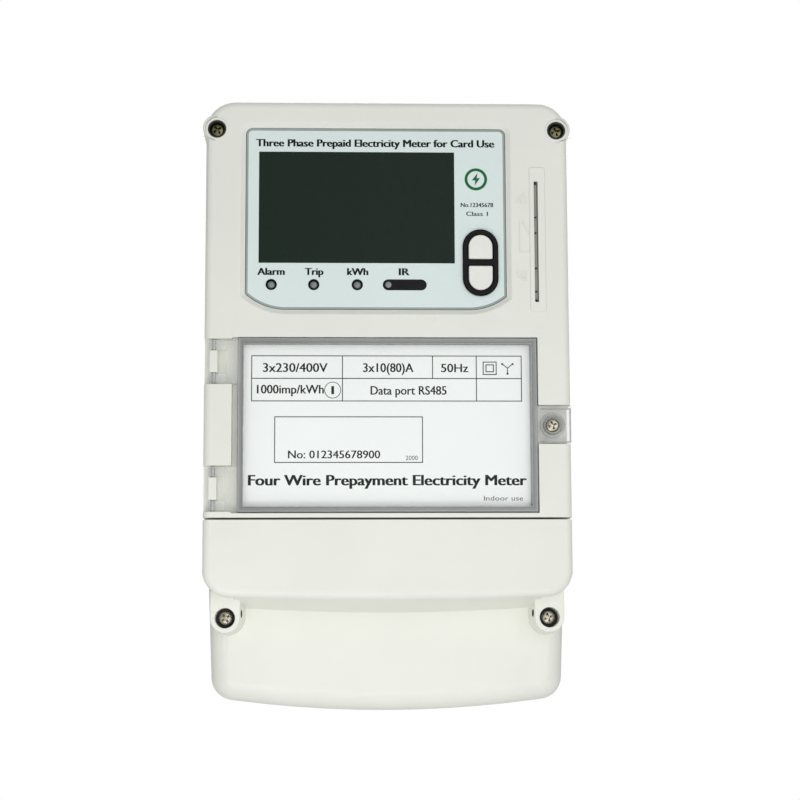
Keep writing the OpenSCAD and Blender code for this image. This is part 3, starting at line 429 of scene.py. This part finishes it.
class Shape:
    """Collects closed solids, in metres, into one mesh."""

    def __init__(self):
        self.points, self.faces = [], []

    def lathe(self, x, z, profile, steps=48):
        """Turns (radius, y) points, given front to back, about the line along Y through x, z."""
        rings = []
        for radius, y in profile:
            count = steps if radius > 0 else 1
            rings.append([len(self.points) + k for k in range(count)])
            for k in range(count):
                a = 2 * math.pi * k / steps
                self.points.append((x + radius * math.cos(a), y, z + radius * math.sin(a)))
        for near, far in zip(rings, rings[1:]):
            for k in range(steps):
                loop = [near[k % len(near)], far[k % len(far)], far[(k + 1) % len(far)], near[(k + 1) % len(near)]]
                loop = list(dict.fromkeys(loop))
                if len(loop) > 2:
                    self.faces.append(loop)
        return self

    def box(self, low, high):
        (x0, y0, z0), (x1, y1, z1) = low, high
        return self.prism([(x0, z0), (x1, z0), (x1, z1), (x0, z1)], y0, y1)

    def prism(self, outline, y0, y1):
        """An outline of (x, z) points, anticlockwise seen from the front, from y0 back to y1."""
        start, count = len(self.points), len(outline)
        self.points += [(x, y, z) for y in (y0, y1) for x, z in outline]
        self.faces.append([start + k for k in range(count)])
        self.faces.append([start + count + k for k in reversed(range(count))])
        for k in range(count):
            after = (k + 1) % count
            self.faces.append([start + after, start + k, start + count + k, start + count + after])
        return self

    def strip(self, line, width, y0, y1, closed=False):
        """A line of (x, z) points drawn with a width and mitred corners, from y0 back to y1."""
        points, start = [Vector(p) for p in line], len(self.points)
        count = len(points)
        for k, here in enumerate(points):
            ways = []
            if closed or k:
                ways.append((here - points[k - 1]).normalized())
            if closed or k < count - 1:
                ways.append((points[(k + 1) % count] - here).normalized())
            sides = [Vector((-way.y, way.x)) for way in ways]
            mitre = sum(sides, Vector((0, 0))).normalized()
            reach = mitre * (width / 2 / mitre.dot(sides[0]))
            left, right = here + reach, here - reach
            corners = ((left, y0), (right, y0), (right, y1), (left, y1))
            self.points += [(side.x, y, side.y) for side, y in corners]
        for k in range(count if closed else count - 1):
            a, b = start + 4 * k, start + 4 * ((k + 1) % count)
            self.faces += [[a + i, a + (i + 1) % 4, b + (i + 1) % 4, b + i] for i in range(4)]
        if not closed:
            end = len(self.points) - 4
            self.faces += [[start, start + 3, start + 2, start + 1], [end, end + 1, end + 2, end + 3]]
        return self

    def loft(self, rings):
        """Rings of as many (x, y, z) points each, anticlockwise seen from the front, from front to back."""
        start, count = len(self.points), len(rings[0])
        self.points += [point for ring in rings for point in ring]
        self.faces.append([start + k for k in range(count)])
        self.faces.append([start + count * (len(rings) - 1) + k for k in reversed(range(count))])
        for row in range(len(rings) - 1):
            at = start + row * count
            for k in range(count):
                after = (k + 1) % count
                self.faces.append([at + after, at + k, at + count + k, at + count + after])
        return self

    def bar(self, outline, z0, z1):
        """An outline of (x, y) points, anticlockwise seen from below, from z0 up to z1."""
        start, count = len(self.points), len(outline)
        self.points += [(x, y, z) for z in (z0, z1) for x, y in outline]
        self.faces.append([start + k for k in range(count)])
        self.faces.append([start + count + k for k in reversed(range(count))])
        for k in range(count):
            after = (k + 1) % count
            self.faces.append([start + after, start + k, start + count + k, start + count + after])
        return self

    def mesh(self, name):
        made = bpy.data.meshes.new(name)
        made.from_pydata(self.points, [], self.faces)
        made.update()
        return made


def smooth_edges(piece, radius, segments=3):
    for polygon in piece.data.polygons:
        polygon.use_smooth = True
    bevel = piece.modifiers.new("bevel", "BEVEL")
    bevel.width = radius * MM
    bevel.segments = segments
    bevel.limit_method = "ANGLE"
    bevel.angle_limit = math.radians(38)
    piece.modifiers.new("normals", "WEIGHTED_NORMAL").keep_sharp = False
    return piece


def add_piece(name, mesh, slot, body="meter", edge=0.0, stands_for=()):
    mesh.materials.clear()
    mesh.materials.append(finishes[slot])
    piece = bpy.data.objects.new(name, mesh)
    bpy.context.scene.collection.objects.link(piece)
    if edge:
        smooth_edges(piece, edge)
    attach(piece, body)
    if stands_for:
        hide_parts(*stands_for)
    return piece


def evaluated_mesh(thing, name):
    """The mesh a temporary object ends up with, after which the object is gone."""
    bpy.context.scene.collection.objects.link(thing)
    seen = thing.evaluated_get(bpy.context.evaluated_depsgraph_get())
    made = bpy.data.meshes.new_from_object(seen)
    made.name = name
    bpy.data.objects.remove(thing)
    return made


def carved(mesh, cutter_mesh, name):
    """mesh with the cutter taken out of it."""
    cutter = bpy.data.objects.new("cutter", cutter_mesh)
    bpy.context.scene.collection.objects.link(cutter)
    blank = bpy.data.objects.new("blank", mesh)
    cut = blank.modifiers.new("cut", "BOOLEAN")
    cut.operation = "DIFFERENCE"
    cut.solver = "EXACT"
    cut.object = cutter
    made = evaluated_mesh(blank, name)
    bpy.data.objects.remove(cutter)
    return made


def arc(x, z, radius, start, end, steps=12):
    turns = [math.radians(start + (end - start) * k / steps) for k in range(steps + 1)]
    return [(x + radius * math.cos(a), z + radius * math.sin(a)) for a in turns]


# ---------- screws ----------


def cross_recess(cutter, x, z, front, radius, turn):
    """A tapered cross for a screwdriver, wide in front and narrow at its bottom."""
    wide, thick, rings = radius * 0.72, radius * 0.17, []
    mouth = (front - 0.4 * MM, wide * 1.1, thick * 1.1)
    bottom = (front + radius * 0.55, wide * 0.42, thick * 0.5)
    for y, w, t in (mouth, bottom):
        quarter = [(t, -w), (t, -t), (w, -t)]
        cross = []
        for _ in range(4):
            cross += quarter
            quarter = [(-v, u) for u, v in quarter]
        rings.append([(x + u * math.cos(turn) - v * math.sin(turn), y, z + u * math.sin(turn) + v * math.cos(turn))
                      for u, v in cross])
    cutter.loft(rings)


def pan_head_screws(name, node, slot_name, body, head_h, shank_r, radius=None, dome=0.45, lift=0.0):
    """Domed screws with a tapered cross recess, where the CAD node has its screws."""
    low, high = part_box(node)
    radius = radius or (high.z - low.z) / 2
    across, z = (high.z - low.z) / 2, (low.z + high.z) / 2
    spots = [high.x - across] if high.x - low.x < 3 * across else [low.x + across, high.x - across]
    screws, cutter = Shape(), Shape()
    for x in spots:
        front, neck = low.y - lift, low.y + head_h
        crown = [(0, front)] + [(radius * f, front + dome * MM * f * f * f) for f in (0.3, 0.55, 0.75, 0.88)]
        rim = [(radius * 0.965, front + dome * MM * 1.15), (radius, front + dome * MM * 1.9), (radius, neck)]
        screws.lathe(x, z, crown + rim + [(shank_r, neck), (shank_r, high.y - shank_r), (0, high.y)])
        cross_recess(cutter, x, z, front, radius, math.radians(20 if x > 0 else 35))
    made = carved(screws.mesh("screws"), cutter.mesh("recess"), name)
    return add_piece(name, made, slot_name, body, edge=0.06, stands_for=(node,))


# ---------- lettering and printed lines ----------

INK = 0.02 * MM
CAP_OF_FONT = 0.69


def lettering(name, text, x, z, cap, width, y, slot_name="print_black", bold=0.0, body="meter"):
    """A line of generic wording, centred on x, its foot at z, facing the front on the surface at y. Sizes in mm."""
    curve = bpy.data.curves.new(name, "FONT")
    curve.body = text
    curve.extrude = 1.0
    curve.resolution_u = 3
    made = evaluated_mesh(bpy.data.objects.new(name, curve), name)
    xs = [v.co.x for v in made.vertices]
    middle, stretch = (min(xs) + max(xs)) / 2, width * MM / (max(xs) - min(xs))
    ink = Shape()
    # a heavier line is the same print laid down again a little to each side
    for layer, shift in enumerate((0, -bold, bold) if bold else (0,), start=1):
        start = len(ink.points)
        for v in made.vertices:
            deep = y - v.co.z * INK * (0.7 + 0.3 * layer)
            across, up = (v.co.x - middle) * stretch, v.co.y * cap * MM / CAP_OF_FONT
            ink.points.append((across + (x + shift) * MM, deep, up + z * MM))
        ink.faces += [[start + i for i in polygon.vertices] for polygon in made.polygons]
    return add_piece(name, ink.mesh(name), slot_name, body)


def frame_line(shape, x0, z0, x1, z1, y, width=0.3):
    """A printed frame, its corners in mm."""
    corners = [(x0 * MM, z0 * MM), (x1 * MM, z0 * MM), (x1 * MM, z1 * MM), (x0 * MM, z1 * MM)]
    shape.strip(corners, width * MM, y - INK, y + INK, closed=True)


def print_panel():
    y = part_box("display_panel")[0].y
    title = "Three Phase Prepaid Electricity Meter for Card Use"
    lettering("print_title", title, -5.4, 119.5, 3.5, 110.7, y, bold=0.25)
    for name, text, x, width in (("alarm", "Alarm", -53.7, 12.3), ("trip", "Trip", -33.8, 8.2),
                                 ("pulse", "kWh", -13.7, 9.4), ("ir", "IR", 7.8, 4.6)):
        lettering("print_" + name, text, x, 58.6, 3.3, width, y, bold=0.24)
    lettering("print_serial", "No.12345678", 41.8, 91.0, 2.0, 15, y, bold=0.08)
    lettering("print_class", "Class 1", 41.8, 86.8, 2.0, 10, y, bold=0.08)
    ring, bolt = Shape(), Shape()
    x, z = 41.4 * MM, 104.2 * MM
    ring.strip(arc(x, z, 4.6 * MM, 0, 360, 48)[:-1], 1.35 * MM, y - INK, y + INK, closed=True)
    bolt.prism([(x + a * MM, z + b * MM) for a, b in
                ((-0.6, -3.0), (1.9, 0.6), (0.4, 0.6), (0.8, 3.0), (-1.9, -0.5), (-0.3, -0.5))], y - INK, y + INK)
    add_piece("print_emblem_ring", ring.mesh("ring"), "print_green")
    add_piece("print_emblem_bolt", bolt.mesh("bolt"), "print_green")


def print_nameplate():
    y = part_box("nameplate")[0].y
    lines = Shape()
    frame_line(lines, -62.4, 0.25, 61.8, 21.2, y, 0.42)
    bar = lambda *line: lines.strip([(a * MM, b * MM) for a, b in line], 0.42 * MM, y - INK, y + INK)
    bar((-62.2, 10.7), (61.6, 10.7))
    bar((-20.7, 0.4), (-20.7, 21))
    bar((20.8, 10.9), (20.8, 21))
    bar((41, 0.4), (41, 21))
    frame_line(lines, -51.7, -28.1, 16, -7.1, y, 0.42)
    # double insulation mark and the sign of three measuring elements
    for inset in (0, 1.3):
        frame_line(lines, 44.2 + inset, 12.6 + inset, 50.2 - inset, 18.4 - inset, y, 0.45)
    for dx, dz in ((-2.4, 1.9), (2.4, 1.9), (0, -2.6)):
        bar((55.4, 15.6), (55.4 + dx, 15.6 + dz))
        dot = [(0, y - INK), (0.5 * MM, y - INK), (0.5 * MM, y + INK), (0, y + INK)]
        lines.lathe((55.4 + dx) * MM, (15.6 + dz) * MM, dot, 16)
    lines.strip(arc(-25.2 * MM, 5.3 * MM, 3.7 * MM, 0, 360, 40)[:-1], 0.32 * MM, y - INK, y + INK, closed=True)
    add_piece("print_table", lines.mesh("lines"), "print_grey")
    for name, text, x, z, cap, width, bold in (
        ("voltage", "3x230/400V", -42.4, 13.7, 4.1, 29.5, 0.13), ("current", "3x10(80)A", 0.4, 13.7, 4.1, 23, 0.13),
        ("frequency", "50Hz", 31, 13.7, 3.9, 12.4, 0.12), ("constant", "1000imp/kWh", -44.6, 3.7, 4.0, 30.5, 0.13),
        ("class_mark", "1", -25.2, 3.4, 3.8, 1.0, 0.12), ("port", "Data port RS485", 9.7, 3.2, 4.0, 34.8, 0.12),
        ("number", "No: 012345678900", -24.5, -26.2, 3.6, 42, 0.1), ("year", "2000", 11, -27, 2.0, 5.6, 0.0),
        ("kind", "Four Wire Prepayment Electricity Meter", 0, -38.6, 4.8, 127, 0.3),
        ("use", "Indoor use", 53, -45.6, 2.1, 18, 0.0),
    ):
        lettering("print_" + name, text, x, z, cap, width, y, bold=bold)


# ---------- fine parts of the front ----------


SHADE_LINE_W = 1.0 * MM


def panel_shade_line():
    """A line of painted shade round the display panel, for the shadowed gap at its edge, drawn along its own
    outline.
    """
    node = frame["nodes"]["display_panel"].data
    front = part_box("display_panel")[0].y
    seen = {}
    for polygon in node.polygons:
        if all(abs(node.vertices[i].co.y - front) < 1e-5 for i in polygon.vertices):
            for a, b in polygon.edge_keys:
                pair = tuple(tuple(round(c, 6) for c in node.vertices[i].co) for i in (a, b))
                seen.setdefault(tuple(sorted(pair)), []).append(polygon.index)
    after = {}
    for (a, b), owners in seen.items():
        if len(owners) == 1:
            after.setdefault(a, []).append(b)
            after.setdefault(b, []).append(a)
    start = min(after, key=lambda p: p[0] + p[2] * 1e-4)
    loop, last = [start], None
    while True:
        ways = [p for p in after[loop[-1]] if p != last]
        last = loop[-1]
        if not ways or ways[0] == start:
            break
        loop.append(ways[0])
    outline = [Vector((p[0], p[2])) for p in loop]
    area = sum(a.x * b.y - b.x * a.y for a, b in zip(outline, outline[1:] + outline[:1]))
    if area < 0:
        outline.reverse()

    def inset(by):
        moved = []
        for before, here, next_one in zip(outline[-1:] + outline[:-1], outline, outline[1:] + outline[:1]):
            one, two = (here - before).normalized(), (next_one - here).normalized()
            normal = (Vector((-one.y, one.x)) + Vector((-two.y, two.x))).normalized()
            moved.append(here + normal * by)
        return moved

    outer, inner = inset(0.02 * MM), inset(SHADE_LINE_W)
    shape, count = Shape(), len(outer)
    for y, ring in ((front - INK, outer), (front - INK, inner), (front + INK, inner), (front + INK, outer)):
        shape.points += [(p.x, y, p.y) for p in ring]
    for k in range(count):
        n = (k + 1) % count
        for a, b in ((0, 1), (1, 2), (2, 3), (3, 0)):
            shape.faces.append([a * count + n, a * count + k, b * count + k, b * count + n])
    # painted shade: the dark line stands for the shadowed gap round the panel
    add_piece("panel_shade_line", shape.mesh("border"), "panel_edge")


def indicators():
    """Light-emitting diodes with clear domes, each in its black ring."""
    low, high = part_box("led_bezels")
    z, ring_r = (low.z + high.z) / 2, (high.z - low.z) / 2
    lens_r = 1.8 * MM
    rings = Shape()
    for name in ("alarm_led", "trip_led", "pulse_led"):
        near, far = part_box(name)
        x = (near.x + far.x) / 2
        front = low.y
        rings.lathe(x, z, [(lens_r + 0.05 * MM, high.y), (lens_r + 0.05 * MM, front + 0.25 * MM),
                           (lens_r + 0.25 * MM, front), (ring_r - 0.25 * MM, front), (ring_r, front + 0.25 * MM),
                           (ring_r, high.y), (lens_r + 0.05 * MM, high.y)])
        led, turns = Shape(), [math.radians(a) for a in (0, 18, 36, 54, 72, 90)]
        dome = [(lens_r * math.sin(a), front + 0.5 * MM + 0.7 * MM * (1 - math.cos(a))) for a in turns]
        led.lathe(x, z, dome + [(lens_r, far.y - 4.5 * MM), (0, far.y - 4.5 * MM)])
        for side in (-0.9, 0.9):
            leg_top, leg_r = far.y - 4.6 * MM, 0.3 * MM
            led.lathe(x + side * MM, z, [(0, leg_top), (leg_r, leg_top), (leg_r, far.y), (0, far.y)], 12)
        add_piece(name + "_lens", led.mesh("led"), "led_lens", edge=0.05, stands_for=(name,))
    add_piece("led_rings", rings.mesh("rings"), "black_gloss", stands_for=("led_bezels",))
    near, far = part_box("ir_window")
    eye_x, eye_r = near.x + 2.5 * MM, 1.45 * MM
    dome = [(eye_r * math.sin(a), near.y - 0.25 * MM + 0.3 * MM * (1 - math.cos(a))) for a in turns]
    back = near.y + 0.3 * MM
    eye = Shape().lathe(eye_x, z, dome + [(eye_r, back), (0, back)])
    add_piece("ir_eye", eye.mesh("eye"), "led_lens")


def screw_wells():
    """The rounded ivory lips round the two corner screws."""
    low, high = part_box("screw_collars")
    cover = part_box("main_cover")[0].y + 0.5 * MM
    z, inner = (low.z + high.z) / 2, (high.z - low.z) / 2
    shape = Shape()
    for x in (low.x + inner, high.x - inner):
        shape.lathe(x, z, [(inner + 0.02 * MM, cover + 1.2 * MM), (inner + 0.02 * MM, cover - 0.1 * MM),
                           (inner + 0.3 * MM, cover - 0.38 * MM), (inner + 0.75 * MM, cover - 0.40 * MM),
                           (inner + 1.1 * MM, cover - 0.15 * MM), (inner + 1.3 * MM, cover + 0.5 * MM),
                           (inner + 1.35 * MM, cover + 1.2 * MM), (inner + 0.02 * MM, cover + 1.2 * MM)], 64)
    piece = add_piece("screw_well_lips", shape.mesh("lips"), "ivory_case")
    for polygon in piece.data.polygons:
        polygon.use_smooth = True


def screw_shoulders():
    """The rounded shoulders that bulge out of the case round the two corner screws."""
    low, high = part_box("screw_collars")
    front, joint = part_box("main_cover")[0].y + 0.9 * MM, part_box("base")[0].y
    z, inner = (low.z + high.z) / 2, (high.z - low.z) / 2
    shape = Shape()
    lip = [(5.0, 4.0), (5.0, 0.5), (5.3, 0.1), (5.75, 0.0), (6.15, 0.25), (6.35, 0.9)]
    profile = [(r * MM, front + y * MM) for r, y in lip]
    profile += [(6.6 * MM, joint), (5.0 * MM, joint), (5.0 * MM, front + 4 * MM)]
    for x, side in ((low.x + inner, -1), (high.x - inner, 1)):
        shape.lathe(x + side * 0.25 * MM, z + 0.7 * MM, profile, 64)
    piece = add_piece("screw_shoulders", shape.mesh("shoulders"), "ivory_case")
    for polygon in piece.data.polygons:
        polygon.use_smooth = True
    piece.modifiers.new("normals", "WEIGHTED_NORMAL")


def card_flap():
    """The grey spring flap that keeps dust out of the card slot, hung on its outer side and swung inward."""
    low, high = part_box("card_reader_body")
    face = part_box("main_cover")[0].y
    x, half = (low.x + high.x) / 2, 0.9 * MM  # the middle and half the width of the slot
    y0, y1 = face + 1.9 * MM, face + 3.1 * MM
    root = x + half
    shape, stops = Shape(), Shape()
    flap = [(root + 0.1 * MM, y0), (root + 0.1 * MM, y0 + 0.3 * MM),
            (x - half * 0.55, y1), (x - half * 0.55, y1 - 0.3 * MM)]
    shape.bar(flap, low.z + 6 * MM, high.z - 6 * MM)
    add_piece("card_flap", shape.mesh("flap"), "reader_grey", edge=0.05)
    middle = (low.z + high.z) / 2
    stop = [(root - 0.1 * MM, y0 - 0.1 * MM), (root - 0.1 * MM, y0 + 0.4 * MM),
            (x - half * 0.5, y1), (x - half * 0.5, y1 - 0.5 * MM)]
    for up in (-27.9, -23.5, -12.5, 4.2, 11.6, 27.9):
        size = 0.75 if abs(up) > 27 else 0.4
        stops.bar(stop, middle + (up - size) * MM, middle + (up + size) * MM)
    add_piece("card_flap_stops", stops.mesh("stops"), "black_plastic")


def shade_painted_seal_holes():
    """The cross holes for the seal wire: the terminal cover's faces round them take the black finish, painted shade
    for the dark bore.
    """
    data = frame["nodes"]["terminal_cover"].data
    low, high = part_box("terminal_cover_screws")
    y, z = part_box("terminal_cover")[0].y + 14 * MM, (low.z + high.z) / 2 + 2 * MM
    # painted shade: black on the faces round the holes stands for the shade in the bore
    data.materials.append(finishes["black_plastic"])
    for polygon in data.polygons:
        at = polygon.center
        if math.hypot(at.y - y, at.z - z) < 1.8 * MM and abs(at.x) < high.x:
            polygon.material_index = len(data.materials) - 1


def slot_symbols():
    """Raised signs beside the card slot: radio arcs above and below a card with its cut corner."""
    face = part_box("main_cover")[0].y + 0.5 * MM
    top, back = face - 0.5 * MM, face + 0.1 * MM
    shape = Shape()
    for x, z, start, end in ((64.9, 92.0, 95, 175), (64.8, 60.5, 185, 265)):
        for radius in (1.2, 3.0, 4.6):
            shape.strip(arc(x * MM, z * MM, radius * MM, start, end), 0.55 * MM, top, back)
    for line in (((62.8, 83.7), (66.2, 77.0)), ((61.6, 83.7), (61.6, 69.2), (65.7, 69.2))):
        shape.strip([(x * MM, z * MM) for x, z in line], 0.5 * MM, top, back)
    gate_mark = [(0, face - 0.15 * MM), (0.8 * MM, face - 0.12 * MM), (1.1 * MM, back), (0, back)]
    shape.lathe(22 * MM, 37 * MM, gate_mark, 24)
    add_piece("slot_symbols", shape.mesh("symbols"), "ivory_case")


def split_window():
    """The hinge arms and the screw tab of the window show more of their own substance than its flat sheet."""
    data = frame["nodes"]["nameplate_window"].data
    data.materials.append(finishes["clear_arm"])
    for polygon in data.polygons:
        if abs(polygon.center.x) > WINDOW_HALF_W + 0.2 * MM:
            polygon.material_index = 1


def window_tab_rim():
    """The moulded rim of the window's screw tab: edges above, below and at its end, and a ring round the screw. Its
    half-opaque grey is painted shade for the darkness seen in the clear edges.
    """
    low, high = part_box("window_screw")
    x, z, end = (low.x + high.x) / 2, (low.z + high.z) / 2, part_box("nameplate_window")[1].x
    front, half = low.y - 0.1 * MM, 7.6 * MM
    rim = Shape()
    inner_x, outer_x = WINDOW_HALF_W + 1.6 * MM, end - 0.4 * MM
    edge = [(inner_x, z + half), (outer_x, z + half), (outer_x, z - half), (inner_x, z - half)]
    rim.strip(edge, 0.55 * MM, front + 0.3 * MM, front + 1.6 * MM)
    for inner, outer in ((3.2, 4.0), (5.1, 5.8)):
        ring = [(inner, 1.6), (inner, 0.2), ((inner + outer) / 2, 0), (outer, 0.2), (outer, 1.6), (inner, 1.6)]
        rim.lathe(x, z, [(r * MM, front + y * MM) for r, y in ring])
    piece = add_piece("window_tab_rim", rim.mesh("rim"), "clear_rim", "window")
    for polygon in piece.data.polygons:
        polygon.use_smooth = True


# ---------- the scene ----------

finish_nodes()
frame["nodes"]["card_reader_body"].data.materials[0] = finishes["reader_grey"]
split_window()
window_tab_rim()
pan_head_screws(
    "cover_screw_pair", "cover_screws", "olive_plate", "meter", 2.2 * MM, 1.5 * MM, radius=3.2 * MM, lift=0.8 * MM
)
pan_head_screws("terminal_screw_pair", "terminal_cover_screws", "nickel", "terminal_lid", 2.6 * MM, 1.75 * MM)
pan_head_screws("window_pan_screw", "window_screw", "nickel", "window", 2.2 * MM, 1.5 * MM)
print_panel()
print_nameplate()
panel_shade_line()
indicators()
screw_wells()
screw_shoulders()
card_flap()
shade_painted_seal_holes()
slot_symbols()
make_camera()
make_world()
make_lights()
make_floor()
